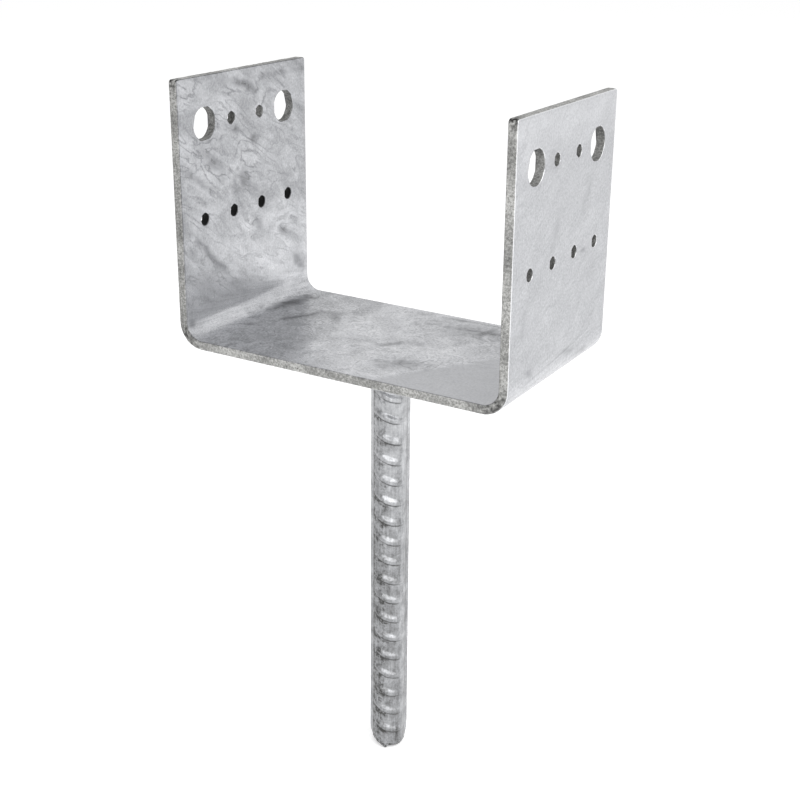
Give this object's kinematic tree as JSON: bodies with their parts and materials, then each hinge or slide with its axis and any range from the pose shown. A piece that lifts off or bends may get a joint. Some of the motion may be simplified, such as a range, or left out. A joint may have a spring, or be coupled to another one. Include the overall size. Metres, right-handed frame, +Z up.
{
  "type": "timber post base",
  "caption": "Galvanised U-shaped post base: a folded strip with bolt and screw holes in both legs, welded on a ribbed steel bar that is cast into a foundation.",
  "frame": {"origin": "centre of the seat, on the face that the post stands on", "axes": "+Z up out of the seat, along the bar and the legs; X across the U, from leg to leg; Y along the folds"},
  "size_m": [0.158, 0.09, 0.314],
  "materials": {
    "galvanised_strip": "hot-dip galvanised mild steel, matt, cloudy grey",
    "galvanised_bar": "hot-dip galvanised ribbed reinforcing steel, satin, with grime between the ribs",
    "galvanised_weld": "hot-dip galvanised fillet weld"
  },
  "bodies": {
    "root": {"u_bracket": "galvanised_strip", "anchor_bar": "galvanised_bar", "weld_bead": "galvanised_weld"}
  },
  "joints": []
}
